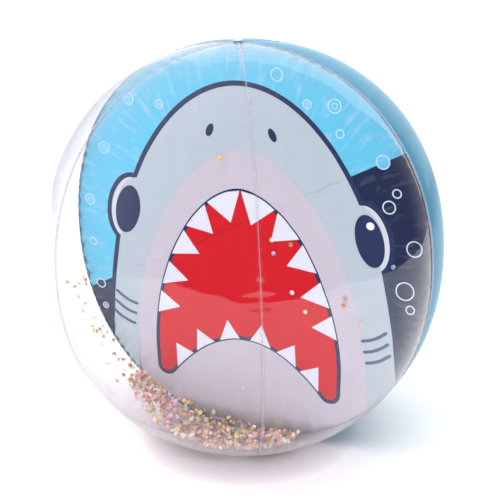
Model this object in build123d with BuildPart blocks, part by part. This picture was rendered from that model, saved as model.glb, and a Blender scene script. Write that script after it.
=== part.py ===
"""Inflatable beach ball: three clear gores and three blue gores welded round a flat picture sheet,
with loose glitter in the clear half and a push-in valve in the middle blue gore.

Millimetres. The ball stands on its lower pole at the origin and +Z runs up through both poles. The
picture sheet lies in the XZ plane and its printed side looks along -Y, towards the clear half."""

import os
from math import cos, degrees, hypot, radians, sin

from build123d import *

# Ball
EQUATOR_R = 175.0
POLE_RATIO = 1.055  # half the height over the equator's radius
SHOULDER = 0.0185  # extra swell half-way up, as a share of the radius
FILM = 0.25
CONTACT_LAT = -85.0  # below this latitude the film lies flat on the ground
TIP_LAT = 89.0  # where the gores' upper tips end
TIP_FIT = 0.02  # between the weld buttons' spigots and the tips
LATITUDE_STEPS = 14

# Gores, each between two seams at these azimuths, counted from +X towards +Y
GORES = {
    "clear_gore_right": (300.0, 360.0),
    "clear_gore_middle": (231.0, 300.0),
    "clear_gore_left": (180.0, 231.0),
    "blue_gore_left": (120.0, 180.0),
    "blue_gore_middle": (60.0, 120.0),
    "blue_gore_right": (0.0, 60.0),
}
LAP = 4.0  # width of the welded lap over each seam
LAP_GAP = 0.02  # the lap's free half lies this far above the next gore
LAP_START_R = 4.6  # laps begin this far out from the poles
LAP_CLEAR = 0.5  # and this far above the ground
LAP_SWEEP = 35.0  # a lap spans less azimuth than this, either way, at its upper tip

# Picture sheet
SHEET = 0.30
AIR_HOLE_R = 1.25  # lets air across and keeps the glitter back
AIR_HOLE_X = 14.0
AIR_HOLE_DROP = 12.0

# Weld buttons at the poles
BUTTON_R = 4.0
BUTTON_RISE = 1.3
BUTTON_BRIM = 0.6
BUTTON_GAP = 0.2  # between a button and the picture sheet
BRIM_GAP = 0.02  # between a button's brim and the film

# Glitter flakes on the floor of the clear half
GLITTER = ("copper", "gold", "silver", "pink", "purple", "blue")
FLAKE_R = 1.9
FLAKE_T = 0.15
FLAKE_PITCH = 3.0
FLAKE_COUNT = 420
FLAKE_CLEAR = 8.0  # flakes keep this far from the sheet
FLAKE_START = 24.0  # and this far from the lower pole
GOLDEN_ANGLE = 137.508

# Valve, along its own axis: 0 is the film's outer face and plus is outwards
VALVE_LAT = 50.0
BASE_SPAN = 20.0  # azimuth, and BASE_RISE latitude, from which the flange is cut
BASE_RISE = 16.0
FLANGE_R = 11.0
FLANGE_T = 0.6
COLLAR_R = 6.2
COLLAR_TOP = 1.0
COLLAR_END = -2.5
STEM_R = 4.5
STEM_FIT = 0.05
BORE_R = 2.8
STEM_TOP = 2.3
LIP_R = 6.0
LIP_T = 1.0
STEM_END = -12.0
BEAD_R = 5.2
BEAD_T = 1.0
PLUG_CAP_R = 4.8
PLUG_CAP_T = 1.2
PLUG_GAP = 0.2
PLUG_R = 2.75
PLUG_TIP_R = 1.7
PLUG_DEPTH = 3.4
FLAP_R = 3.9
FLAP_T = 0.4
FLAP_GAP = 0.15

# The two small hinges: distance of the pin from the stem's axis, height, pin and ears
PLUG_PIN = (-7.0, 2.55, 0.5)
FLAP_PIN = (4.6, -12.6, 0.4)
PIN_FIT = 0.05
EAR_T = 1.0
EAR_GAP = 0.3
EAR_R = 0.8
FLAP_EAR_R = 0.65
STRAP_W = 3.8
STRAP_T = 0.8
TAB_W = 2.6


def swell(lat):
    """Distance from the ball's centre to its skin, over the equator's radius."""
    angle = radians(lat)
    return 1 + (POLE_RATIO - 1) * sin(angle) ** 2 + SHOULDER * sin(2 * angle) ** 2


CENTRE_Z = -EQUATOR_R * swell(CONTACT_LAT) * sin(radians(CONTACT_LAT))


def meridian(lat, lift=0.0):
    """Radius and height of the skin at a latitude, moved outwards by lift."""
    reach = EQUATOR_R * swell(lat) + lift
    return reach * cos(radians(lat)), CENTRE_Z + reach * sin(radians(lat))


def outwards(lat):
    """The skin's unit normal at a latitude, as its radius and height parts."""
    r_low, z_low = meridian(lat - 0.5)
    r_high, z_high = meridian(lat + 0.5)
    length = hypot(r_high - r_low, z_high - z_low)
    return (z_high - z_low) / length, (r_low - r_high) / length


def meridian_points(lift, low, high):
    """Points along the skin from one latitude to another."""
    lats = [low + (high - low) * i / LATITUDE_STEPS for i in range(LATITUDE_STEPS + 1)]
    return [meridian(lat, lift) for lat in lats]


TIP_R = meridian(TIP_LAT)[0]
SPIGOT_R = TIP_R - TIP_FIT
POLE_Z = meridian(90.0)[1]


def upright_plane(azimuth):
    """Plane through the poles: its x runs out along the azimuth and its y runs up."""
    a = radians(azimuth)
    return Plane(origin=(0, 0, 0), x_dir=(cos(a), sin(a), 0), z_dir=(sin(a), -cos(a), 0))


def film(start, end):
    """Film between two azimuths, from the lower tip's flat to the upper tip."""
    with BuildPart() as piece:
        with BuildSketch(upright_plane(start)):
            with BuildLine():
                outer = Spline(*meridian_points(0.0, CONTACT_LAT, TIP_LAT))
                inner = Spline(*meridian_points(-FILM, CONTACT_LAT, TIP_LAT))
                Line(outer @ 1, inner @ 1)
                Polyline(outer @ 0, (TIP_R, 0.0), (TIP_R, (inner @ 0).Y), inner @ 0)
            make_face()
        revolve(axis=Axis.Z, revolution_arc=end - start)
    return piece.part


def band(azimuth, low, high, start, end):
    """Narrow band of a skin along a seam, from start to end across it, clear of the poles."""
    with BuildPart() as piece:
        with BuildSketch(upright_plane(azimuth - LAP_SWEEP)):
            with BuildLine():
                under = Spline(*meridian_points(low, CONTACT_LAT, TIP_LAT))
                over = Spline(*meridian_points(high, CONTACT_LAT, TIP_LAT))
                Line(under @ 0, over @ 0)
                Line(under @ 1, over @ 1)
            make_face()
        revolve(axis=Axis.Z, revolution_arc=2 * LAP_SWEEP)
        with BuildSketch(upright_plane(azimuth).offset(-end)):
            with Locations((LAP_START_R, LAP_CLEAR)):
                Rectangle(2 * EQUATOR_R, 3 * EQUATOR_R, align=(Align.MIN, Align.MIN))
        extrude(amount=end - start, mode=Mode.INTERSECT)
    return piece.part


def valve_plane():
    """Plane across the valve: its z runs out along the valve and its x is the ball's x."""
    r, z = meridian(VALVE_LAT)
    normal_r, normal_z = outwards(VALVE_LAT)
    return Plane(origin=(0, r, z), x_dir=(1, 0, 0), z_dir=(0, normal_r, normal_z))


VALVE = valve_plane()


def across(x):
    """Plane across a hinge pin: its x runs along the valve's y and its y along the valve's axis."""
    origin = VALVE.from_local_coords(Vector(x, 0, 0))
    return Plane(origin=origin, x_dir=VALVE.y_dir, z_dir=VALVE.x_dir)


def write(part, name):
    part.label = name
    export_step(part, f"parts/{name}.step")


os.makedirs("parts", exist_ok=True)

# Gores: film from seam to seam, with the lap that covers the seam at its far end
for name, (start, end) in GORES.items():
    with BuildPart() as gore:
        add(film(start, end))
        add(band(end, -FILM / 2, FILM / 2, -LAP / 2, 0))
        if start % 180 == 0 or end % 180 == 0:
            with BuildSketch(Plane.XZ):
                with Locations((0, CENTRE_Z)):
                    Rectangle(3 * EQUATOR_R, 3 * EQUATOR_R)
            extrude(amount=SHEET / 2, both=True, mode=Mode.SUBTRACT)
        add(band(end, LAP_GAP, FILM, -LAP / 2, LAP / 2))
        if name == "blue_gore_middle":
            with BuildSketch(VALVE):
                Circle(COLLAR_R + STEM_FIT)
            extrude(amount=FLANGE_R, both=True, mode=Mode.SUBTRACT)
    write(gore.part, name)

# Picture sheet: the ball's outline, stopped short of the buttons, with two small air holes
with BuildPart() as picture_sheet:
    with BuildSketch(Plane.XZ):
        with BuildLine():
            side = Spline(*meridian_points(0.0, CONTACT_LAT, TIP_LAT))
            Polyline(side @ 1, (TIP_R, POLE_Z - FILM), (0, POLE_Z - FILM))
            notch_x = BUTTON_R + BUTTON_GAP
            notch_z = FILM + BUTTON_RISE + BUTTON_GAP
            Polyline(side @ 0, (notch_x, 0), (notch_x, notch_z), (0, notch_z))
            mirror(about=Plane.YZ)
        make_face()
        with Locations(
            (-AIR_HOLE_X, POLE_Z - AIR_HOLE_DROP),
            (AIR_HOLE_X, POLE_Z - AIR_HOLE_DROP),
        ):
            Circle(AIR_HOLE_R, mode=Mode.SUBTRACT)
    extrude(amount=SHEET / 2, both=True)
write(picture_sheet.part, "picture_sheet")


def weld_button(foot, brim, top):
    """Half-section of a button, turned about Z: a spigot in the hole between the gores, and a dome."""
    with BuildPart() as button:
        with BuildSketch(Plane.XZ):
            with BuildLine():
                dome = TangentArc((0, top), (BUTTON_R, brim + BUTTON_BRIM), tangent=(1, 0))
                Polyline(dome @ 1, (BUTTON_R, brim), (SPIGOT_R, brim), (SPIGOT_R, foot), (0, foot))
                Line((0, foot), dome @ 0)
            make_face()
        revolve(axis=Axis.Z)
    return button.part


# Weld buttons: the top one stands proud, the bottom one stands inwards and is flush below
BRIM_Z = POLE_Z + BRIM_GAP
write(weld_button(POLE_Z - FILM, BRIM_Z, POLE_Z + BUTTON_RISE), "top_pole_button")
write(weld_button(0, FILM, FILM + BUTTON_RISE), "bottom_pole_button")


def flake_planes():
    """Places for the flakes: a sunflower pattern round the lower pole, kept to the clear half."""
    planes = []
    for i in range(FLAKE_COUNT):
        along_skin = FLAKE_PITCH * i**0.5
        azimuth = radians(GOLDEN_ANGLE * i)
        lat = -90.0 + degrees(along_skin / (EQUATOR_R * POLE_RATIO))
        r, z = meridian(lat, -FILM - FLAKE_T)
        normal_r, normal_z = outwards(lat)
        if r * sin(azimuth) < -FLAKE_CLEAR and along_skin > FLAKE_START:
            spot = (r * cos(azimuth), r * sin(azimuth), z)
            inwards = (-normal_r * cos(azimuth), -normal_r * sin(azimuth), -normal_z)
            planes.append(Plane(origin=spot, z_dir=inwards))
    return planes


# Glitter: one group of loose flakes for each colour
PLANES = flake_planes()
for i, colour in enumerate(GLITTER):
    with BuildPart() as flakes:
        with BuildSketch(*PLANES[i :: len(GLITTER)]):
            RegularPolygon(FLAKE_R, 6)
        extrude(amount=FLAKE_T)
    write(flakes.part, f"{colour}_glitter")

# Valve base: a flange that follows the film, with the collar that guides the stem
with BuildPart() as valve_base:
    with BuildSketch(upright_plane(90 - BASE_SPAN / 2)):
        with BuildLine():
            lats = (VALVE_LAT - BASE_RISE / 2, VALVE_LAT + BASE_RISE / 2)
            under = Spline(*meridian_points(0.0, *lats))
            over = Spline(*meridian_points(FLANGE_T, *lats))
            Line(under @ 0, over @ 0)
            Line(under @ 1, over @ 1)
        make_face()
    revolve(axis=Axis.Z, revolution_arc=BASE_SPAN)
    with BuildSketch(VALVE):
        Circle(FLANGE_R)
    extrude(amount=FLANGE_R, both=True, mode=Mode.INTERSECT)
    with BuildSketch(VALVE.offset(COLLAR_END)):
        Circle(COLLAR_R)
    extrude(amount=COLLAR_TOP - COLLAR_END)
    with BuildSketch(VALVE.offset(COLLAR_END)):
        Circle(STEM_R + STEM_FIT)
    extrude(amount=COLLAR_TOP - COLLAR_END, mode=Mode.SUBTRACT)
write(valve_base.part, "valve_base")

# Valve stem: tube, lip and stop bead, with a pair of ears at each end for the plug and the flap
pin_y, pin_z, pin_r = PLUG_PIN
flap_y, flap_z, flap_pin_r = FLAP_PIN
with BuildPart() as valve_stem:
    with BuildSketch(VALVE.offset(STEM_END)):
        Circle(STEM_R)
    extrude(amount=STEM_TOP - STEM_END)
    with BuildSketch(VALVE.offset(STEM_TOP - LIP_T)):
        Circle(LIP_R)
    extrude(amount=LIP_T)
    with BuildSketch(VALVE.offset(STEM_END)):
        Circle(BEAD_R)
    extrude(amount=BEAD_T)
    for side in (-1, 1):
        with BuildSketch(across(side * (STRAP_W / 2 + EAR_GAP + EAR_T / 2))):
            with Locations((pin_y, (STEM_TOP - LIP_T + pin_z + EAR_R) / 2)):
                Rectangle(2 * EAR_R, pin_z + EAR_R - STEM_TOP + LIP_T)
            with Locations((pin_y + EAR_R, STEM_TOP - LIP_T / 2)):
                Rectangle(2 * EAR_R, LIP_T)
            with Locations((pin_y, pin_z)):
                Circle(pin_r + PIN_FIT, mode=Mode.SUBTRACT)
        extrude(amount=EAR_T / 2, both=True)
        with BuildSketch(across(side * (TAB_W / 2 + EAR_GAP + EAR_T / 2))):
            with Locations((flap_y, (STEM_END + flap_z - FLAP_EAR_R) / 2)):
                Rectangle(2 * FLAP_EAR_R, STEM_END - flap_z + FLAP_EAR_R)
            with Locations((flap_y, flap_z)):
                Circle(flap_pin_r + PIN_FIT, mode=Mode.SUBTRACT)
        extrude(amount=EAR_T / 2, both=True)
    with BuildSketch(VALVE.offset(STEM_END)):
        Circle(BORE_R)
    extrude(amount=STEM_TOP - STEM_END, mode=Mode.SUBTRACT)
write(valve_stem.part, "valve_stem")

# Valve plug: tapered nose, cap, strap and hinge pin, moulded as one
with BuildPart() as valve_plug:
    with BuildSketch(VALVE.offset(STEM_TOP + PLUG_GAP)):
        Circle(PLUG_CAP_R)
    extrude(amount=PLUG_CAP_T)
    with BuildSketch(VALVE.offset(STEM_TOP + PLUG_GAP)):
        Circle(PLUG_R)
    with BuildSketch(VALVE.offset(STEM_TOP - PLUG_DEPTH)):
        Circle(PLUG_TIP_R)
    loft()
    with BuildSketch(across(0)):
        with Locations((pin_y / 2, STEM_TOP + PLUG_GAP + STRAP_T / 2)):
            Rectangle(-pin_y, STRAP_T)
    extrude(amount=STRAP_W / 2, both=True)
    with BuildSketch(across(0)):
        with Locations((pin_y, pin_z)):
            Circle(pin_r)
    extrude(amount=STRAP_W / 2 + EAR_GAP + EAR_T, both=True)
write(valve_plug.part, "valve_plug")

# Valve flap: a thin disc under the stem's inner end, with its tab and hinge pin
with BuildPart() as valve_flap:
    with BuildSketch(VALVE.offset(STEM_END - FLAP_GAP)):
        Circle(FLAP_R)
    extrude(amount=-FLAP_T)
    with BuildSketch(across(0)):
        with Locations((flap_y / 2, STEM_END - FLAP_GAP - FLAP_T / 2)):
            Rectangle(flap_y, FLAP_T)
    extrude(amount=TAB_W / 2, both=True)
    with BuildSketch(across(0)):
        with Locations((flap_y, flap_z)):
            Circle(flap_pin_r)
    extrude(amount=TAB_W / 2 + EAR_GAP + EAR_T, both=True)
write(valve_flap.part, "valve_flap")

plug_hinge = VALVE.from_local_coords(Vector(0, pin_y, pin_z))
flap_hinge = VALVE.from_local_coords(Vector(0, flap_y, flap_z))
print("valve axis", VALVE.z_dir, "plug hinge", plug_hinge, "flap hinge", flap_hinge)
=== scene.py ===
import math
import random

import bpy
import numpy as np
from mathutils import Matrix, Vector, noise
from mathutils.geometry import delaunay_2d_cdt


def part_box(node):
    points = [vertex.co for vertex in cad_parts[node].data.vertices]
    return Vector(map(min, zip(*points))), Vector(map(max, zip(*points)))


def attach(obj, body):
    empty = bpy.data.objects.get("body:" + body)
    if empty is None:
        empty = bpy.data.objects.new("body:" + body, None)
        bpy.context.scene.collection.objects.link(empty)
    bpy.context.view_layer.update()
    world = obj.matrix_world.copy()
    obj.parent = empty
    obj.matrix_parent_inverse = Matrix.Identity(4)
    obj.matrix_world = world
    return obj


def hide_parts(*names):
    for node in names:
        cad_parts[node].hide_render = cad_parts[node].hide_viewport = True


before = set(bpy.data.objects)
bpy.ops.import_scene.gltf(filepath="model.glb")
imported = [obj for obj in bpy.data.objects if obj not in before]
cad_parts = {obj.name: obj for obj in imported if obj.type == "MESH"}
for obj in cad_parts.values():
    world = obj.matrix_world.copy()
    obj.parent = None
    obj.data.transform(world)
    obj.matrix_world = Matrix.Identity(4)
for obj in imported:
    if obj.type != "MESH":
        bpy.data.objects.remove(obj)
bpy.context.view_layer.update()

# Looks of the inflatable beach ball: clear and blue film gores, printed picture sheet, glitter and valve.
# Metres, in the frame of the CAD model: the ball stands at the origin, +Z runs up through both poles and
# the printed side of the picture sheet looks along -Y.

# The ball's shape, as in the CAD model
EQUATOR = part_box("picture_sheet")[1][0]
POLE_RATIO = 1.055
SHOULDER = 0.0185
CONTACT_LAT = -85.0
TIP_LAT = 89.0
FILM = 0.00025
GORES = {
    "clear_gore_right": (300.0, 360.0),
    "clear_gore_middle": (231.0, 300.0),
    "clear_gore_left": (180.0, 231.0),
    "blue_gore_left": (120.0, 180.0),
    "blue_gore_middle": (60.0, 120.0),
    "blue_gore_right": (0.0, 60.0),
}
ROWS = 300
COLUMNS = 30

# The camera, as the angles and distance from which the ball is seen
VIEW_AZIMUTH = math.radians(25.9)
VIEW_ELEVATION = math.radians(19.7)
VIEW_ROLL = math.radians(-1.7)
VIEW_DISTANCE = 6.0 * EQUATOR
LENS = 84.5
AIM_RIGHT = 0.0051
AIM_DOWN = 0.0025


def swell(lat):
    """Distance from the ball's centre to its skin, over the equator's radius."""
    return 1 + (POLE_RATIO - 1) * math.sin(lat) ** 2 + SHOULDER * math.sin(2 * lat) ** 2


CENTRE_Z = -EQUATOR * swell(math.radians(CONTACT_LAT)) * math.sin(math.radians(CONTACT_LAT))


def skin(lat, azimuth, lift=0.0):
    """Point of the ball's skin at a latitude and azimuth in radians, moved out by lift."""
    reach = EQUATOR * swell(lat) + lift
    flat = reach * math.cos(lat)
    return Vector((flat * math.cos(azimuth), flat * math.sin(azimuth), CENTRE_Z + reach * math.sin(lat)))


# ---------------------------------------------------------------- materials


def tone(red, green, blue):
    """A colour given as it looks, 0 to 255, in the linear light that shaders use."""
    return [((c / 255 + 0.055) / 1.055) ** 2.4 if c > 10 else c / 3295 for c in (red, green, blue)] + [1]


class Nodes:
    """The nodes of a new material or world, with short ways to add and join them."""

    def __init__(self, owner, output="ShaderNodeOutputMaterial"):
        owner.use_nodes = True
        self.owner = owner
        self.tree = owner.node_tree
        self.tree.nodes.clear()
        self.output = self.add(output)

    def feed(self, socket, value):
        """Gives an input a number or a colour, or joins another node's output to it."""
        if isinstance(value, bpy.types.NodeSocket):
            self.tree.links.new(value, socket)
        else:
            socket.default_value = value

    def add(self, kind, **values):
        """A new node; values are its settings and inputs, with _ for a space."""
        node = self.tree.nodes.new(kind)
        for key, value in values.items():
            if hasattr(node, key):
                setattr(node, key, value)
            else:
                self.feed(node.inputs[key.replace("_", " ")], value)
        return node

    def maths(self, operation, *values):
        """Output of a Math node."""
        node = self.add("ShaderNodeMath", operation=operation)
        for socket, value in zip(node.inputs, values):
            self.feed(socket, value)
        return node.outputs[0]

    def position(self):
        """Object coordinates, which are the frame's."""
        return self.add("ShaderNodeTexCoord").outputs["Object"]

    def speckle(self, scale, detail=3.0):
        """A noise value from 0 to 1, with this many features to the metre."""
        texture = self.add("ShaderNodeTexNoise", Vector=self.position(), Scale=scale, Detail=detail)
        return texture.outputs["Fac"]

    def band(self, source, low, high, start=0.0, stop=1.0):
        """Stretches a value from start..stop to low..high."""
        node = self.add("ShaderNodeMapRange", Value=source, From_Min=start, From_Max=stop)
        node.inputs["To Min"].default_value = low
        node.inputs["To Max"].default_value = high
        return node.outputs["Result"]

    def blend(self, factor, first, second):
        """Colour between two, each a colour or a socket."""
        node = self.add("ShaderNodeMix", data_type="RGBA")
        for number, value in ((0, factor), (6, first), (7, second)):
            self.feed(node.inputs[number], value)
        return node.outputs[2]

    def bump(self, source, strength, distance):
        """Normal of a bumpy surface."""
        node = self.add("ShaderNodeBump", Height=source, Strength=strength, Distance=distance)
        return node.outputs["Normal"]

    def mix(self, factor, first, second):
        """Shader between two shaders."""
        node = self.add("ShaderNodeMixShader")
        for socket, value in zip(node.inputs, (factor, first.outputs[0], second.outputs[0])):
            self.feed(socket, value)
        return node

    def finish(self, shader):
        """Joins the last shader to the output; returns the material or world."""
        self.feed(self.output.inputs["Surface"], shader.outputs[0])
        return self.owner


HAZE_POWER = 8.0  # how closely the haze and the shine of film keep to its grazing edges
SHINE_POWER = 5.0


def film_material(name, tint, body, milk, edge_milk, gloss=0.03, edge_gloss=0.9):
    """See-through film: tint is the light it passes, body its own colour, milk how hazy it is."""
    n = Nodes(bpy.data.materials.new(name))
    facing = n.add("ShaderNodeLayerWeight", Blend=0.5).outputs["Facing"]
    clear = n.add("ShaderNodeBsdfTransparent", Color=tint)
    cloudy = n.add("ShaderNodeBsdfPrincipled", Base_Color=body, Roughness=0.35, Specular_IOR_Level=0.2)
    haze = n.maths("MULTIPLY_ADD", n.maths("POWER", facing, HAZE_POWER), edge_milk, milk)
    wrinkle = n.bump(n.speckle(90.0, 2.0), 0.10, 0.0006)
    mirror = n.add("ShaderNodeBsdfAnisotropic", Roughness=0.04, Normal=wrinkle)
    shine = n.maths("MULTIPLY_ADD", n.maths("POWER", facing, SHINE_POWER), edge_gloss - gloss, gloss)
    return n.finish(n.mix(shine, n.mix(haze, clear, cloudy), mirror))


CREASES_AROUND = 26.0  # streaks of painted highlight to the radian, and to the metre outwards from the ball's centre
CREASES_OUTWARDS = 48.0
CREASE_FROM, CREASE_TO = 0.52, 0.80  # the part of the noise that paints pale highlight streaks into the ink
# painted highlight: the pale colour the ink turns to along the streaks
PAINTED_CREASE_HIGHLIGHT = (0.72, 0.82, 0.88, 1)


def radial_place(n):
    """Coordinates that run round and out from the ball's centre, over the picture."""
    parts = n.add("ShaderNodeSeparateXYZ", Vector=n.position())
    across = parts.outputs["X"]
    height = n.maths("SUBTRACT", parts.outputs["Z"], CENTRE_Z)
    flat = n.add("ShaderNodeCombineXYZ", X=across, Z=height)
    radius = n.add("ShaderNodeVectorMath", operation="LENGTH", Vector=flat.outputs[0])
    angle = n.maths("ARCTAN2", across, height)
    place = n.add("ShaderNodeCombineXYZ", X=angle, Y=radius.outputs["Value"])
    stretch = n.add("ShaderNodeVectorMath", operation="MULTIPLY", Vector=place.outputs[0])
    stretch.inputs[1].default_value = (CREASES_AROUND, CREASES_OUTWARDS, 1)
    return stretch.outputs[0]


def ink_material(name, colour, crease_highlight=0.0):
    """Printed PVC: one ink, slightly uneven, with a satin surface and maybe fine pale streaks of painted
    highlight where light would catch the sheet's creases.
    """
    n = Nodes(bpy.data.materials.new(name))
    paler = [min(1, 1.12 * c + 0.004) for c in colour[:3]] + [1]
    ink = n.blend(n.speckle(60.0, 5.0), colour, paler)
    if crease_highlight > 0:
        streaks = n.add("ShaderNodeTexNoise", Vector=radial_place(n), Scale=1.0, Detail=3.0, Distortion=0.4)
        # painted highlight: pale streaks mixed into the ink's colour, in place of light caught by the
        # sheet's creases and pleats
        painted_highlight = n.band(streaks.outputs["Fac"], 0.0, crease_highlight, CREASE_FROM, CREASE_TO)
        ink = n.blend(painted_highlight, ink, PAINTED_CREASE_HIGHLIGHT)
    printed = n.add("ShaderNodeBsdfPrincipled", Base_Color=ink, IOR=1.45, Specular_IOR_Level=0.15)
    n.feed(printed.inputs["Roughness"], n.band(n.speckle(400.0, 2.0), 0.42, 0.6))
    n.feed(printed.inputs["Normal"], n.bump(n.speckle(700.0, 2.0), 0.15, 0.0001))
    return n.finish(printed)


def flake_material(name, colour):
    """Metallised film flake, deeper or paler from place to place."""
    n = Nodes(bpy.data.materials.new(name))
    deeper = [0.8 * c for c in colour[:3]] + [1]
    paler = [c + (1 - c) * 0.45 for c in colour[:3]] + [1]
    sparkle = n.band(n.speckle(260.0, 0.0), -1.0, 2.0)
    flake = n.add("ShaderNodeBsdfPrincipled", Base_Color=n.blend(sparkle, deeper, paler), Metallic=0.1)
    n.feed(flake.inputs["Roughness"], n.band(n.speckle(900.0, 1.0), 0.18, 0.38))
    return n.finish(flake)


def moulding_material(name, colour):
    """Soft moulded PVC, milky, with a fine mould grain."""
    n = Nodes(bpy.data.materials.new(name))
    paler = [c + (1 - c) * 0.3 for c in colour[:3]] + [1]
    cloud = n.blend(n.speckle(250.0, 3.0), colour, paler)
    soft = n.add("ShaderNodeBsdfPrincipled", Base_Color=cloud, Subsurface_Weight=0.3, Subsurface_Scale=0.002)
    n.feed(soft.inputs["Roughness"], n.band(n.speckle(700.0, 2.0), 0.22, 0.42))
    n.feed(soft.inputs["Normal"], n.bump(n.speckle(2500.0, 2.0), 0.2, 0.0001))
    return n.finish(soft)


# ---------------------------------------------------------------- meshes


def new_piece(name, verts, faces, materials, indices=None, smooth=True):
    """A mesh object; indices gives each face's material."""
    mesh = bpy.data.meshes.new(name)
    mesh.from_pydata([tuple(v) for v in verts], [], faces)
    for material in materials:
        mesh.materials.append(material)
    if indices is not None:
        mesh.polygons.foreach_set("material_index", indices)
    mesh.polygons.foreach_set("use_smooth", [smooth] * len(mesh.polygons))
    mesh.update()
    piece = bpy.data.objects.new(name, mesh)
    bpy.context.scene.collection.objects.link(piece)
    return piece


def slab(outer, inner):
    """Closed slab between two grids of points of the same size: its points and its quads."""
    rows, columns = len(outer), len(outer[0])
    verts = [p for line in outer for p in line] + [p for line in inner for p in line]
    depth = rows * columns
    faces = []
    for i in range(rows - 1):
        for j in range(columns - 1):
            a = i * columns + j
            b, c, d = a + 1, a + columns + 1, a + columns
            faces.append((a, b, c, d))
            faces.append((d + depth, c + depth, b + depth, a + depth))
    edge = [(i, 0) for i in range(rows)] + [(rows - 1, j) for j in range(1, columns)]
    edge += [(i, columns - 1) for i in range(rows - 2, -1, -1)] + [(0, j) for j in range(columns - 2, 0, -1)]
    ring = [i * columns + j for i, j in edge]
    for a, b in zip(ring, ring[1:] + ring[:1]):
        faces.append((b, b + depth, a + depth, a)[::-1])
    return verts, faces


# ---------------------------------------------------------------- film gores

PINCH = 0.0009  # how far a weld pulls the film in
PINCH_REACH = 0.010
PUCKER = 0.00042  # height of the small waves along a weld
PUCKER_REACH = 0.007
PUCKER_LENGTH = 0.009
SLACK = 0.00035  # depth of the slow waves all over, and how many there are to the metre
SLACK_WAVES = 18
BILLOW = 0.0026  # the blue film at each side stands out a little further between its seams
BLUE_SPAN = 60.0
EDGE_CROWDING = 0.35  # how much closer together the film's columns lie near its seams


def seam_distance(lat, azimuth):
    """Distance over the skin to the nearest seam, and that seam's number."""
    flat = EQUATOR * swell(lat) * math.cos(lat)
    seams = [start for start, end in GORES.values()]
    gaps = [abs((math.degrees(azimuth) - s + 180) % 360 - 180) for s in seams]
    nearest = min(range(len(seams)), key=lambda i: gaps[i])
    return math.radians(gaps[nearest]) * flat, nearest


def film_lift(lat, azimuth):
    """How far the film stands off the plain skin: pulled in and puckered at welds, slack between."""
    distance, seam = seam_distance(lat, azimuth)
    along = lat * EQUATOR
    pull = -PINCH * math.exp(-distance / PINCH_REACH)
    phase = 5.0 * noise.noise(Vector((along * 25, seam * 7.0, 0)))
    strength = 0.5 + noise.noise(Vector((along * 12, seam * 3.0, 5)))
    pucker = PUCKER * strength * math.exp(-distance / PUCKER_REACH)
    pucker *= math.sin(2 * math.pi * along / PUCKER_LENGTH + phase)
    slack = SLACK * (noise.noise(skin(lat, azimuth) * SLACK_WAVES) - 0.5)
    is_blue = 0 < math.degrees(azimuth) < 180
    across = math.degrees(azimuth) % BLUE_SPAN / BLUE_SPAN if is_blue else 0.0
    sideways = math.cos(azimuth) ** 2 * max(0.0, math.cos(lat)) ** 1.5
    billow = BILLOW * math.sin(math.pi * across) * sideways
    return pull + pucker + min(slack, 0) + billow


def gore_points(start, end, lift):
    """Grid of points over one gore, from pole to pole and from seam to seam."""
    low, high = math.radians(CONTACT_LAT), math.radians(TIP_LAT)
    grid = []
    for i in range(ROWS + 1):
        lat = low + (high - low) * i / ROWS
        line = []
        for j in range(COLUMNS + 1):
            crowded = (1 - math.cos(math.pi * j / COLUMNS)) / 2
            share = EDGE_CROWDING * crowded + (1 - EDGE_CROWDING) * j / COLUMNS
            azimuth = math.radians(start + (end - start) * share)
            line.append(skin(lat, azimuth, film_lift(lat, azimuth) + lift))
        grid.append(line)
    return grid


# Cross-section of a lap: places across the seam, and how far each stands off the film
LAP_ACROSS = (-0.0020, -0.00035, -0.0001, 0.0001, 0.00035, 0.0020)
LAP_LIFT = (0.00027, 0.00027, 0.00050, 0.00050, 0.00027, 0.00027)
LAP_FOOT = 0.00002
LAP_START = math.radians(-83.5)
LAP_STOP = math.radians(88.5)
LAP_NARROWEST = 0.0045  # distance from the pole within which the laps stop widening in angle
SCALLOP = 0.22
SCALLOP_LENGTH = 0.0055


def lap_points(azimuth, on_top):
    """Grid of points over the welded lap along one seam, or under it."""
    grid = []
    for i in range(ROWS + 1):
        lat = LAP_START + (LAP_STOP - LAP_START) * i / ROWS
        base = film_lift(lat, math.radians(azimuth))
        centre = skin(lat, math.radians(azimuth))
        flat = math.hypot(centre.x, centre.y)
        scallop = 1 + SCALLOP * (math.sin(2 * math.pi * lat * EQUATOR / SCALLOP_LENGTH) - 1)
        line = []
        for across, lift in zip(LAP_ACROSS, LAP_LIFT):
            turn = across * scallop / max(flat, LAP_NARROWEST)
            line.append(skin(lat, math.radians(azimuth) + turn, base + (lift if on_top else LAP_FOOT)))
        grid.append(line)
    return grid


def make_gore(node, start, end, film, weld):
    """One gore's film, with the lap along its far seam; the weld shows only where the lap is fused."""
    verts, faces = slab(gore_points(start, end, 0.0), gore_points(start, end, -FILM))
    indices = [0] * len(faces)
    lap_verts, lap_faces = slab(lap_points(end, True), lap_points(end, False))
    columns = len(LAP_ACROSS) - 1
    holds_sheet = end % 180 == 0
    for number, face in enumerate(lap_faces):
        faces.append([v + len(verts) for v in face])
        column = number // 2 % columns
        on_top = number < 2 * columns * ROWS and number % 2 == 0
        fused = holds_sheet or 1 <= column <= columns - 2
        indices.append(1 if on_top and fused else 0)
    verts += lap_verts
    piece = new_piece(f"film_{node}", verts, faces, [film, weld], indices)
    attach(piece, "ball")
    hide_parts(node)


# ---------------------------------------------------------------- picture sheet

# Everything on the picture is in shares of the equator's radius, from the ball's centre
ARC_STEPS = 48
BEYOND_RIM = 1.2  # further out than the sheet reaches
BELOW_RIM = -1.3
LINE = 0.026  # width of the drawn outlines


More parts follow.
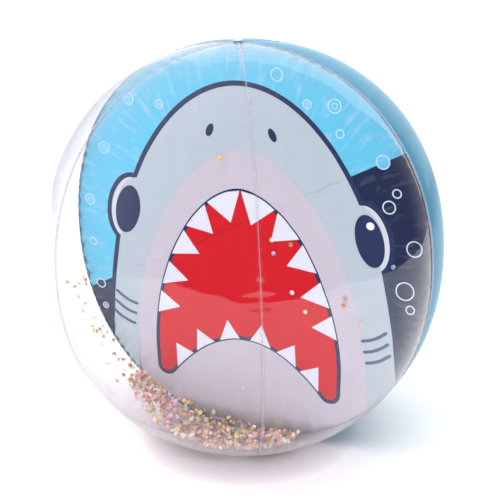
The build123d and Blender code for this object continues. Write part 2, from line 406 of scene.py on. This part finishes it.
def ellipse(x, z, wide, tall, lean=0.0, steps=ARC_STEPS):
    """Outline of an ellipse whose top leans towards +x by lean degrees."""
    c, s = math.cos(math.radians(lean)), math.sin(math.radians(lean))
    points = []
    for i in range(steps):
        a = 2 * math.pi * i / steps
        u, v = wide * math.cos(a), tall * math.sin(a)
        points.append((x + u * c + v * s, z - u * s + v * c))
    return points


def mirrored(outline):
    """The outline's mirror image in the middle line."""
    return [(-x, z) for x, z in reversed(outline)]


def left_eye(outline):
    """The right eye's outline, put over on the left."""
    shift_x, shift_z = LEFT_EYE_SHIFT
    return [(x + shift_x, z + shift_z) for x, z in mirrored(outline)]


def grown(outline, width):
    """Outline moved out by width, or in if it's negative."""
    out = []
    for before, here, after in zip(outline[-1:] + outline[:-1], outline, outline[1:] + outline[:1]):
        along = Vector((after[0] - before[0], after[1] - before[1])).normalized()
        out.append((here[0] + along.y * width, here[1] - along.x * width))
    return out


def stroke(points, width):
    """Outline of a thin line with round ends, through points."""
    path = [Vector(p) for p in points]
    left, right = [], []
    for i, here in enumerate(path):
        along = (path[min(i + 1, len(path) - 1)] - path[max(i - 1, 0)]).normalized()
        side = Vector((-along.y, along.x)) * width / 2
        left.append(here + side)
        right.append(here - side)
    ends = []
    for tip, to in ((path[-1], path[-1] - path[-2]), (path[0], path[0] - path[1])):
        ends.append(tip + to.normalized() * width / 2)
    return [tuple(p) for p in right + [ends[0]] + left[::-1] + [ends[1]]]


def rounded_arch(width, height, foot):
    """Half of an arch, from its foot up to its crown at x = 0."""
    points = []
    for i in range(ARC_STEPS + 1):
        a = math.pi / 2 * i / ARC_STEPS
        across, up = math.cos(a) ** (2 / ARCH_POWER), math.sin(a) ** (2 / ARCH_POWER)
        points.append((width * across, foot + height * up))
    return points


HEAD_TOP = 0.848
HEAD_TURN = 0.63  # half-width where the dome gives way to the brow
DOME_FALL = 1.17
DOME_SHOULDER = 1.2
CHEEK = ((0.70, 0.13), (0.755, -0.04), (0.785, -0.2), (0.81, -0.36), (0.83, -0.56), (0.83, -BEYOND_RIM))


def head_outline():
    """The head: a dome, then nearly straight sides down past the sheet's edge."""
    steps = ARC_STEPS
    right = []
    for i in range(steps + 1):
        x = HEAD_TURN * i / steps
        right.append((x, HEAD_TOP - DOME_FALL * x**2 - DOME_SHOULDER * x**6))
    right += CHEEK
    left = mirrored(right)
    return (left[:-1] + right)[::-1]


BROW = dict(x=0.675, z=0.125, wide=0.112, tall=0.185, lean=-14.0)
EYE = dict(x=0.677, z=0.115, wide=0.073, tall=0.136, lean=-14.0)
LEFT_EYE_SHIFT = (-0.004, 0.015)
BROW_FOLD = 0.040  # how far the brow's inner line stands in from its outer one

MOUTH_X = -0.013
MOUTH_TOP = 0.30
MOUTH_FOOT = -0.62
MOUTH_HALF = 0.53
LIP_TOP = -0.512
LIP_DROP = 1.35
LOBE_R = 0.048
LOBE_FROM = 0.44  # where the lip runs into the rounded corner
ARCH_POWER = 1.8  # 2 would make the mouth's arch half an ellipse
LIP_LINE = 0.022


def lip(x):
    """Height of the lower lip."""
    return LIP_TOP - LIP_DROP * x**2


def mouth_outline():
    """The open mouth: a tall arch, two round lower corners and a lip that rises between them."""
    slope = 2 * LIP_DROP * LOBE_FROM
    normal = Vector((slope, 1)).normalized()
    centre = Vector((LOBE_FROM, lip(LOBE_FROM))) + normal * LOBE_R
    begin = math.atan2(-normal.y, -normal.x)
    right = []
    steps = ARC_STEPS // 2
    for i in range(steps):
        x = LOBE_FROM * i / steps
        right.append((x, lip(x)))
    for i in range(steps + 1):
        a = begin - begin * i / steps
        right.append((centre.x + LOBE_R * math.cos(a), centre.y + LOBE_R * math.sin(a)))
    right += rounded_arch(MOUTH_HALF, MOUTH_TOP - MOUTH_FOOT, MOUTH_FOOT)
    whole = right + mirrored(right)[1:-1]
    return [(x + MOUTH_X, z) for x, z in whole]


def arch_x(z):
    """Half-width of the mouth's arch at a height."""
    share = max(0.0, min(1.0, (z - MOUTH_FOOT) / (MOUTH_TOP - MOUTH_FOOT)))
    return MOUTH_HALF * (1 - share**ARCH_POWER) ** (1 / ARCH_POWER)


# Upper teeth on one side: heights where each meets the arch, and its tip
UPPER_TEETH = (
    (0.300, 0.220, 0.058, 0.125),
    (0.207, 0.078, 0.165, 0.050),
    (0.052, -0.088, 0.249, -0.070),
    (-0.133, -0.267, 0.324, -0.229),
    (-0.308, -0.438, 0.380, -0.388),
)
# Lower teeth on one side: where each begins and ends along the lip, and its tip
LOWER_TEETH = (
    (0.030, 0.148, 0.099, -0.421),
    (0.180, 0.289, 0.285, -0.502),
    (0.311, 0.414, 0.417, -0.605),
)
TOOTH_STEPS = 6
TOOTH_ROOT = 0.004  # how far the teeth run under the mouth's outline


def teeth():
    """Upper and lower teeth on both sides, as outlines."""
    shapes = []
    for top, bottom, tip_x, tip_z in UPPER_TEETH:
        heights = [top + (bottom - top) * i / TOOTH_STEPS for i in range(TOOTH_STEPS + 1)]
        base = [(arch_x(z) + TOOTH_ROOT, z) for z in heights]
        shapes.append(base[::-1] + [(tip_x, tip_z)])
    for begin, end, tip_x, tip_z in LOWER_TEETH:
        along = [begin + (end - begin) * i / TOOTH_STEPS for i in range(TOOTH_STEPS + 1)]
        base = [(x, lip(x) - TOOTH_ROOT) for x in along]
        shapes.append(base + [(tip_x, tip_z)])
    both = shapes + [mirrored(s) for s in shapes]
    return [[(x + MOUTH_X, z) for x, z in s] for s in both]


GILL_STEPS = 8
GILL_LINE = 0.017
GILL_REACH, GILL_RISE, GILL_SAG = 0.126, 0.062, 0.012


def gills():
    """Three short curved strokes on each cheek."""
    shapes = []
    for i in range(3):
        x, z = 0.64 + 0.011 * i, -0.418 - 0.059 * i
        points = []
        for j in range(GILL_STEPS + 1):
            share = j / GILL_STEPS
            sag = GILL_SAG * math.sin(math.pi * share)
            points.append((x + GILL_REACH * share, z + GILL_RISE * share - sag))
        line = stroke(points, GILL_LINE)
        shapes += [line, mirrored([(x + 0.02, z + 0.008) for x, z in line])]
    return shapes


# Bubbles: place, radius and whether a small one sits inside
BUBBLES = (
    (-0.635, 0.728, 0.031, True), (-0.457, 0.712, 0.025, True), (-0.804, 0.456, 0.032, True),
    (-0.915, 0.160, 0.031, True), (-0.915, -0.080, 0.022, False), (-0.885, -0.321, 0.028, False),
    (-0.866, -0.450, 0.019, True), (0.203, 0.902, 0.034, False), (0.356, 0.768, 0.024, True),
    (0.497, 0.769, 0.036, True), (0.525, 0.637, 0.023, False), (0.741, 0.518, 0.036, False),
    (0.812, 0.370, 0.024, False), (0.774, 0.298, 0.034, False), (0.903, 0.103, 0.041, False),
    (0.860, -0.119, 0.048, False), (0.888, -0.213, 0.024, False),
)
RING = 0.0065
WATER_AT_CENTRE = 0.136
WATER_SLOPE = 0.511


def bubble(x, z, radius, doubled):
    """A bubble's ring, and maybe a small one inside, as (ink, outline)."""
    in_sky = z > WATER_AT_CENTRE + WATER_SLOPE * x
    under, ring = ("sky", "faint_bubble") if in_sky else ("water", "bubble")
    shapes = [(ring, ellipse(x, z, radius, radius * 1.02, steps=28))]
    shapes.append((under, ellipse(x, z, radius - RING, radius * 1.02 - RING, steps=28)))
    if doubled:
        small, hole = radius * 0.45, radius * 0.45 - RING * 0.7
        shapes.append((ring, ellipse(x, z, small, small, steps=16)))
        shapes.append((under, ellipse(x, z, hole, hole, steps=16)))
    return shapes


def water_outline():
    """Everything under the sloping waterline."""
    far = BEYOND_RIM
    left, right = WATER_AT_CENTRE - far * WATER_SLOPE, WATER_AT_CENTRE + far * WATER_SLOPE
    return [(-far, left), (-far, BELOW_RIM), (far, BELOW_RIM), (far, right)]


def muzzle_outline():
    """The pale arch round the mouth, down past the sheet's edge."""
    half = [(0.70, BELOW_RIM)] + rounded_arch(0.66, 1.13, MOUTH_FOOT)
    return half + mirrored(half)[1:]


def picture_shapes():
    """Every printed shape as (ink, outline), the ones underneath first."""
    brow, eye, head = ellipse(**BROW), ellipse(**EYE), head_outline()
    inner_x, inner_tall = BROW["x"] - BROW_FOLD, BROW["tall"] - 0.012
    inner_brow = ellipse(inner_x, BROW["z"], BROW["wide"], inner_tall, BROW["lean"])
    shapes = [("water", water_outline())]
    shapes += [("line", grown(shape, LINE / 2)) for shape in (head, brow, left_eye(brow))]
    shapes += [("pale", grown(shape, -LINE / 2)) for shape in (brow, left_eye(brow))]
    shapes.append(("head", grown(head, -LINE / 2)))
    shapes += [("head", shape) for shape in (inner_brow, left_eye(inner_brow))]
    shapes.append(("muzzle", muzzle_outline()))
    shapes += [("line", shape) for shape in (eye, left_eye(eye))]
    shapes.append(("white", ellipse(0.679, 0.192, 0.021, 0.020)))
    for side in (-1, 1):
        nostril = ellipse(side * 0.172, 0.602, 0.019, 0.036, -25.0 * side)
        shapes.append(("line", nostril))
    mouth = mouth_outline()
    shapes.append(("line", grown(mouth, LIP_LINE / 2)))
    shapes.append(("mouth", grown(mouth, -LIP_LINE / 2)))
    shapes += [("tooth", shape) for shape in teeth()]
    shapes += [("gill", shape) for shape in gills()]
    for place in BUBBLES:
        shapes += bubble(*place)
    return shapes


def inside(outline, xs, zs):
    """Which of many points lie inside an outline."""
    hit = np.zeros(len(xs), bool)
    for (ax, az), (bx, bz) in zip(outline, outline[1:] + outline[:1]):
        if az == bz:
            continue
        crosses = (zs < az) != (zs < bz)
        hit ^= crosses & (xs < ax + (zs - az) * (bx - ax) / (bz - az))
    return hit


SHEET_HALF = 0.00015  # half of its thickness
SHEET_MARGIN = 0.0010
RIM_STEPS = 239
GRID_STEP = 0.022  # size of the sheet's triangles between its printed lines
GRID_HALF = 48
PLEATS = 74
PLEATS_FROM = 0.80  # radius at which the pleats begin
PLEAT = 0.0015
SHEET_WAVE = 0.0012
SHEET_FOLD = 0.00070


def sheet_bulge(x, z):
    """How far the sheet stands off its plane: radial pleats near the rim, a slow wave inside."""
    radius = math.hypot(x, z)
    angle = math.atan2(z, x)
    near_rim = max(0.0, min(1.0, (radius - PLEATS_FROM) / 0.2)) ** 1.5
    wander = 2.0 * noise.noise(Vector((math.cos(angle) * 3, math.sin(angle) * 3, 0)))
    depth = 0.5 + noise.noise(Vector((math.cos(angle) * 6, math.sin(angle) * 6, 4)))
    pleat = PLEAT * near_rim * depth * math.sin(PLEATS * angle + 6 * wander)
    within = max(0.0, 1 - radius**4)
    wave = SHEET_WAVE * noise.noise(Vector((x * 3.0, z * 3.0, 2))) * within
    fold = SHEET_FOLD * noise.noise(Vector((x * 17, z * 7, 9))) * within
    return pleat + wave + fold


def sheet_rim():
    """Outline of the sheet, just inside the film."""
    low = CONTACT_LAT + 0.2
    right = []
    for i in range(RIM_STEPS + 1):
        lat = math.radians(low + (TIP_LAT - low) * i / RIM_STEPS)
        point = skin(lat, 0.0, -SHEET_MARGIN)
        right.append((point.x / EQUATOR, (point.z - CENTRE_Z) / EQUATOR))
    return right + mirrored(right)


def inked_triangles(names):
    """The sheet cut along every printed line: its points, its triangles and each one's ink number."""
    rim, shapes = sheet_rim(), picture_shapes()
    points, edges = [], []
    for outline in [rim] + [shape for _, shape in shapes]:
        first, count = len(points), len(outline)
        points += [Vector(p) for p in outline]
        edges += [(first + i, first + (i + 1) % count) for i in range(count)]
    for i in range(-GRID_HALF, GRID_HALF + 1):
        for j in range(-GRID_HALF, GRID_HALF + 1):
            points.append(Vector(((i + 0.5 * (j % 2)) * GRID_STEP, j * GRID_STEP * 0.866)))
    done = delaunay_2d_cdt(points, edges, [], 0, 1e-5)
    flat = np.array([tuple(p) for p in done[0]])
    triangles = [f for f in done[2] if len(f) == 3]
    across, up = flat[np.array(triangles)].mean(axis=1).T
    ink = np.zeros(len(triangles), int)
    for name, outline in shapes:
        ink[inside(outline, across, up)] = names.index(name)
    keep = inside(rim, across, up)
    return flat, [f for f, k in zip(triangles, keep) if k], [int(c) for c in ink[keep]]


def border(faces):
    """The edges that only one face has."""
    edges = {}
    for face in faces:
        for a, b in zip(face, face[1:] + face[:1]):
            if (b, a) in edges:
                del edges[(b, a)]
            else:
                edges[(a, b)] = True
    return list(edges)


def make_sheet(inks, back):
    """The picture sheet: a printed front, a plain back and the narrow edge between them."""
    flat, triangles, colour = inked_triangles(list(inks))
    numbers = {}
    for face in triangles:
        for v in face:
            numbers.setdefault(v, len(numbers))
    front, behind = [], []
    for v in numbers:
        x, z = flat[v]
        y = sheet_bulge(x, z)
        front.append((x * EQUATOR, y - SHEET_HALF, CENTRE_Z + z * EQUATOR))
        behind.append((x * EQUATOR, y + SHEET_HALF, CENTRE_Z + z * EQUATOR))
    depth = len(front)
    faces = [tuple(numbers[v] for v in face) for face in triangles]
    back_faces = [tuple(v + depth for v in face[::-1]) for face in faces]
    walls = [(b, a, a + depth, b + depth) for a, b in border(faces)]
    indices = colour + [len(inks)] * (len(back_faces) + len(walls))
    materials = list(inks.values()) + [back]
    piece = new_piece("picture", front + behind, faces + back_faces + walls, materials, indices)
    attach(piece, "ball")
    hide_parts("picture_sheet")


# ---------------------------------------------------------------- glitter

FLAKE_SIDES = 10
FLAKE_THICK = 0.00010
FLAKE_DISH = 0.00025
FLAKE_SMALL, FLAKE_LARGE, FLAKE_STUCK = 0.0018, 0.0025, 0.0021  # radii


def add_flake(verts, faces, place, out, radius, turn):
    """One small dished disc."""
    out = out.normalized()
    side = out.orthogonal().normalized()
    side.rotate(Matrix.Rotation(turn, 3, out))
    other = out.cross(side)
    first = len(verts)
    for level in (0.0, -FLAKE_THICK):
        verts.append(place + out * (level - FLAKE_DISH))
        for i in range(FLAKE_SIDES):
            a = 2 * math.pi * i / FLAKE_SIDES
            verts.append(place + (side * math.cos(a) + other * math.sin(a)) * radius + out * level)
    under = FLAKE_SIDES + 1
    for i in range(FLAKE_SIDES):
        a, b = first + 1 + i, first + 1 + (i + 1) % FLAKE_SIDES
        faces.append((first, a, b))
        faces.append((first + under, b + under, a + under))
        faces.append((a, a + under, b + under, b))


def floor_point(x, y, lift):
    """Point above the inside of the film's lower half at a place, and the way up from it."""
    flat = math.hypot(x, y)
    azimuth = math.atan2(y, x)
    lat = -math.acos(min(flat / EQUATOR, 0.999))
    for _ in range(12):
        reach = EQUATOR * swell(lat) - FILM - lift
        lat = -math.acos(min(flat / reach, 0.9999))
    point = skin(lat, azimuth, -FILM - lift)
    point.z = max(point.z, FILM + lift)
    centre = Vector((0, 0, CENTRE_Z))
    return point, (centre - point).normalized()


PILE_SIZE = 950
PILE_LEFT, PILE_RIGHT = -0.112, 0.052
PILE_DEPTH = 0.064  # how far it spreads from the sheet
PILE_HEIGHT = 0.009
SHEET_GAP = 0.0038  # room between the sheet and the nearest flakes
STRAYS = 60
STRAY_FROM, STRAY_SPREAD = -0.105, 0.062
STRAY_GAP = 0.0045
STUCK_GAP = 0.0026
SEED = 11
FILM_SLACK = 0.0016  # room for the film's puckers and slack
SHARES = {"copper": 0.38, "gold": 0.27, "silver": 0.18, "pink": 0.12, "purple": 0.03, "blue": 0.02}
STUCK = (
    # across, up, colour: flakes that cling to the picture
    (-0.115, 0.466, "gold"), (0.803, 0.004, "blue"), (0.553, -0.198, "copper"), (0.545, -0.236, "copper"),
    (0.639, -0.321, "copper"), (0.340, -0.300, "gold"), (0.268, -0.206, "silver"), (0.171, -0.007, "purple"),
    (0.266, 0.053, "copper"), (0.162, 0.064, "silver"), (-0.02, -0.80, "pink"),
)


def drop_flake(groups, chance, x, y, lift, tilt):
    """One loose flake of a random colour, size and slant, on the film below a place."""
    radius = chance.uniform(FLAKE_SMALL, FLAKE_LARGE)
    up = floor_point(x, y, 0.003)[1]
    out = (up + Vector([chance.gauss(0, tilt) for _ in range(3)])).normalized()
    standing = math.sqrt(max(0.0, 1 - out.dot(up) ** 2))
    place = floor_point(x, y, FILM_SLACK + radius * standing + lift)[0]
    verts, faces = groups[chance.choices(list(SHARES), list(SHARES.values()))[0]]
    add_flake(verts, faces, place, out, radius, chance.uniform(0, 6.28))


def make_glitter(materials):
    """The heap, the strays beside it and the flakes that cling to the picture, a mesh to a colour."""
    chance = random.Random(SEED)
    groups = {name: ([], []) for name in SHARES}
    for _ in range(PILE_SIZE):
        share = chance.random() ** 1.15
        x = PILE_LEFT + (PILE_RIGHT - PILE_LEFT) * share
        depth = PILE_DEPTH * math.sin(math.pi * (0.08 + 0.84 * share)) ** 0.6
        y = -SHEET_GAP - depth * chance.random() ** 1.2
        height = PILE_HEIGHT * math.sin(math.pi * (0.05 + 0.9 * share)) * max(0.1, 1 + y / 0.06)
        drop_flake(groups, chance, x, y, height * chance.random(), 0.8)
    for _ in range(STRAYS):
        share = chance.random() ** 1.3
        x = STRAY_FROM - STRAY_SPREAD * share
        y = -STRAY_GAP - abs(chance.gauss(0, 0.012 + 0.012 * share))
        drop_flake(groups, chance, x, y, 0.0, 0.9)
    for x, z, name in STUCK:
        verts, faces = groups[name]
        place = Vector((x * EQUATOR, -STUCK_GAP, CENTRE_Z + z * EQUATOR))
        add_flake(verts, faces, place, Vector((0.1, -1, 0.1)), FLAKE_STUCK, 0.3)
    for name, (verts, faces) in groups.items():
        piece = new_piece(f"flakes_{name}", verts, faces, [materials[name]], smooth=False)
        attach(piece, "ball")
        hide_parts(f"{name}_glitter")


# ---------------------------------------------------------------- camera, floor and light


def make_camera():
    """The camera at its angle, looking at the ball's centre but for a small offset."""
    a, e = VIEW_AZIMUTH, VIEW_ELEVATION
    back = Vector((math.sin(a) * math.cos(e), -math.cos(a) * math.cos(e), math.sin(e)))
    right = Vector((math.cos(a), math.sin(a), 0))
    up = back.cross(right)
    c, s = math.cos(VIEW_ROLL), math.sin(VIEW_ROLL)
    level, upright = right * c + up * s, up * c - right * s
    centre = Vector((0, 0, CENTRE_Z))
    place = centre + level * AIM_RIGHT - upright * AIM_DOWN + back * VIEW_DISTANCE
    turn = Matrix((level, upright, back)).transposed().to_4x4()
    camera = bpy.data.objects.new("camera", bpy.data.cameras.new("camera"))
    camera.data.lens = LENS
    camera.matrix_world = Matrix.Translation(place) @ turn
    bpy.context.scene.collection.objects.link(camera)
    bpy.context.scene.camera = camera


# Places on the floor: across the camera's view and away from it
TABLE = ((-1.5, -1.6), (0.95, -0.74), (0.95, 1.0), (-1.5, 1.0))
PANEL_SIDES = (-0.38, 1.70)
PANEL_AWAY = 1.3
PANEL_TOP = 1.68
PANEL_FOOT = 0.06
PANEL_GLOW = 1.6
PAPER = (0.87, 0.87, 0.87, 1), (0.89, 0.89, 0.89, 1)
# painted shadow: the grey the paper's colour darkens to where the ball stands close over it
PAINTED_SHADOW_PAPER = (0.38, 0.38, 0.38, 1)
SHADOW_REACH = 0.026


def studio_point(across, away, height=0.0):
    """Point at a place on the floor, or above it."""
    c, s = math.cos(VIEW_AZIMUTH), math.sin(VIEW_AZIMUTH)
    return Vector((across * c - away * s, across * s + away * c, height))


def paper_material():
    """White paper with a painted contact shadow: greyer where the ball stands close over it."""
    n = Nodes(bpy.data.materials.new("studio_paper_painted_shadow"))
    # painted contact shadow: ambient occlusion darkens the paper's base colour near the ball, in place of a
    # shadow cast by the lights
    near = n.add("ShaderNodeAmbientOcclusion", samples=8, Distance=SHADOW_REACH)
    paper_and_painted_shadow = n.blend(near.outputs["AO"], PAINTED_SHADOW_PAPER, n.blend(n.speckle(40.0, 2.0), *PAPER))
    paper = n.add("ShaderNodeBsdfPrincipled", Base_Color=paper_and_painted_shadow, Roughness=0.8, Specular_IOR_Level=0.0)
    return n.finish(paper)


def glow_material():
    """Even white light."""
    n = Nodes(bpy.data.materials.new("panel_glow"))
    return n.finish(n.add("ShaderNodeEmission", Strength=PANEL_GLOW))


def make_stage():
    """A white table top with a painted contact shadow under the ball, and a glowing white panel standing
    behind it.
    """
    floor = [studio_point(across, away) for across, away in TABLE]
    left, right = PANEL_SIDES
    panel = [studio_point(left, PANEL_AWAY, PANEL_FOOT), studio_point(right, PANEL_AWAY, PANEL_FOOT)]
    panel += [studio_point(right, PANEL_AWAY, PANEL_TOP), studio_point(left, PANEL_AWAY, PANEL_TOP)]
    new_piece("table_top", floor, [(0, 1, 2, 3)], [paper_material()])
    new_piece("back_panel", panel, [(0, 1, 2, 3)], [glow_material()])


def make_light(name, kind, place, target, size, power):
    """A soft light that film and flakes don't mirror; a sun's size is its angle."""
    light = bpy.data.lights.new(name, kind)
    light.energy = power
    if kind == "SUN":
        light.angle = size
    else:
        light.shape = "DISK"
        light.size = size
    lamp = bpy.data.objects.new(name, light)
    lamp.location = place
    lamp.rotation_euler = (Vector(target) - Vector(place)).to_track_quat("-Z", "Y").to_euler()
    lamp.visible_glossy = False
    bpy.context.scene.collection.objects.link(lamp)


ROOM_LIGHT = 0.85  # what the room sheds on things
ROOM_SEEN = 1.35  # how bright the room looks behind the table
MIRRORED_FRONT = 0.02  # what the film mirrors: a dark room on the camera's side, a paler one beyond
MIRRORED_BEYOND = 1.15
BEYOND_FROM, BEYOND_TO = -0.3, 0.6  # where the one gives way to the other, along BEYOND
BEYOND = studio_point(-0.6, 0.8)


def make_world():
    """A room that is white where the camera looks past the table, and dim in the film's mirror."""
    n = Nodes(bpy.data.worlds.new("room"), "ShaderNodeOutputWorld")
    beyond = n.add("ShaderNodeVectorMath", operation="DOT_PRODUCT")
    n.feed(beyond.inputs[0], n.add("ShaderNodeTexCoord").outputs["Generated"])
    n.feed(beyond.inputs[1], BEYOND)
    mirrored_room = n.band(beyond.outputs["Value"], MIRRORED_FRONT, MIRRORED_BEYOND, BEYOND_FROM, BEYOND_TO)
    path = n.add("ShaderNodeLightPath").outputs
    gain = n.maths("SUBTRACT", mirrored_room, ROOM_LIGHT)
    lit = n.maths("MULTIPLY_ADD", path["Is Glossy Ray"], gain, ROOM_LIGHT)
    seen = n.maths("MULTIPLY_ADD", path["Is Camera Ray"], ROOM_SEEN - ROOM_LIGHT, lit)
    room = n.add("ShaderNodeBackground", Color=(0.98, 0.99, 1.0, 1), Strength=seen)
    bpy.context.scene.world = n.finish(room)
    bpy.context.scene.view_settings.view_transform = "Standard"


# ---------------------------------------------------------------- the scene

make_camera()
make_stage()
make_world()
make_light("overhead", "SUN", studio_point(-0.2, 0.3, 2.0), (0, 0, 0), size=1.5, power=2.7)
make_light("front", "AREA", studio_point(-1.0, -1.9, 1.6), (0, 0, 0.2), size=1.6, power=6.0)

CLEAR_LIGHT = (0.99, 0.972, 0.99, 1)
WELD_LIGHT = (1, 0.98, 0.99, 1)
CLEAR = film_material("clear_pvc", CLEAR_LIGHT, tone(247, 238, 248), milk=0.002, edge_milk=0.42)
BLUE = film_material("blue_pvc", tone(140, 208, 228), tone(98, 176, 205), 0.50, 0.45, edge_gloss=0.20)
WELD = film_material("weld_line", WELD_LIGHT, tone(208, 186, 206), milk=0.46, edge_milk=0.10)
# the last number of some inks is how strongly their pale streaks of painted highlight show
INKS = {
    "sky": ink_material("ink_sky", tone(98, 198, 228), crease_highlight=0.36),
    "water": ink_material("ink_water", tone(22, 38, 72), crease_highlight=0.10),
    "line": ink_material("ink_line", tone(36, 50, 88)),
    "pale": ink_material("ink_pale", tone(206, 216, 222)),
    "head": ink_material("ink_head", tone(181, 198, 204), crease_highlight=0.12),
    "muzzle": ink_material("ink_muzzle", tone(198, 196, 204), crease_highlight=0.12),
    "white": ink_material("ink_white", tone(238, 240, 246)),
    "mouth": ink_material("ink_mouth", tone(206, 14, 30)),
    "tooth": ink_material("ink_tooth", tone(222, 230, 238)),
    "gill": ink_material("ink_gill", tone(84, 94, 124)),
    "bubble": ink_material("ink_bubble", tone(205, 225, 238)),
    "faint_bubble": ink_material("ink_faint_bubble", tone(180, 224, 243)),
}
SHEET_BACK = ink_material("sheet_back", tone(226, 232, 238))
for node, (start, end) in GORES.items():
    make_gore(node, start, end, CLEAR if node.startswith("clear") else BLUE, WELD)
make_sheet(INKS, SHEET_BACK)
FLAKES = {
    "copper": flake_material("flake_copper", tone(218, 146, 92)),
    "gold": flake_material("flake_gold", tone(255, 218, 92)),
    "silver": flake_material("flake_silver", tone(252, 248, 240)),
    "pink": flake_material("flake_pink", tone(255, 168, 188)),
    "purple": flake_material("flake_purple", tone(160, 120, 200)),
    "blue": flake_material("flake_blue", tone(90, 160, 220)),
}
make_glitter(FLAKES)

MOULDING = moulding_material("valve_pvc", tone(168, 178, 188))
BUTTONS = ("top_pole_button", "bottom_pole_button")
VALVE = ("valve_base", "valve_stem", "valve_plug", "valve_flap")
for node in BUTTONS + VALVE:
    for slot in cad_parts[node].material_slots:
        slot.material = MOULDING
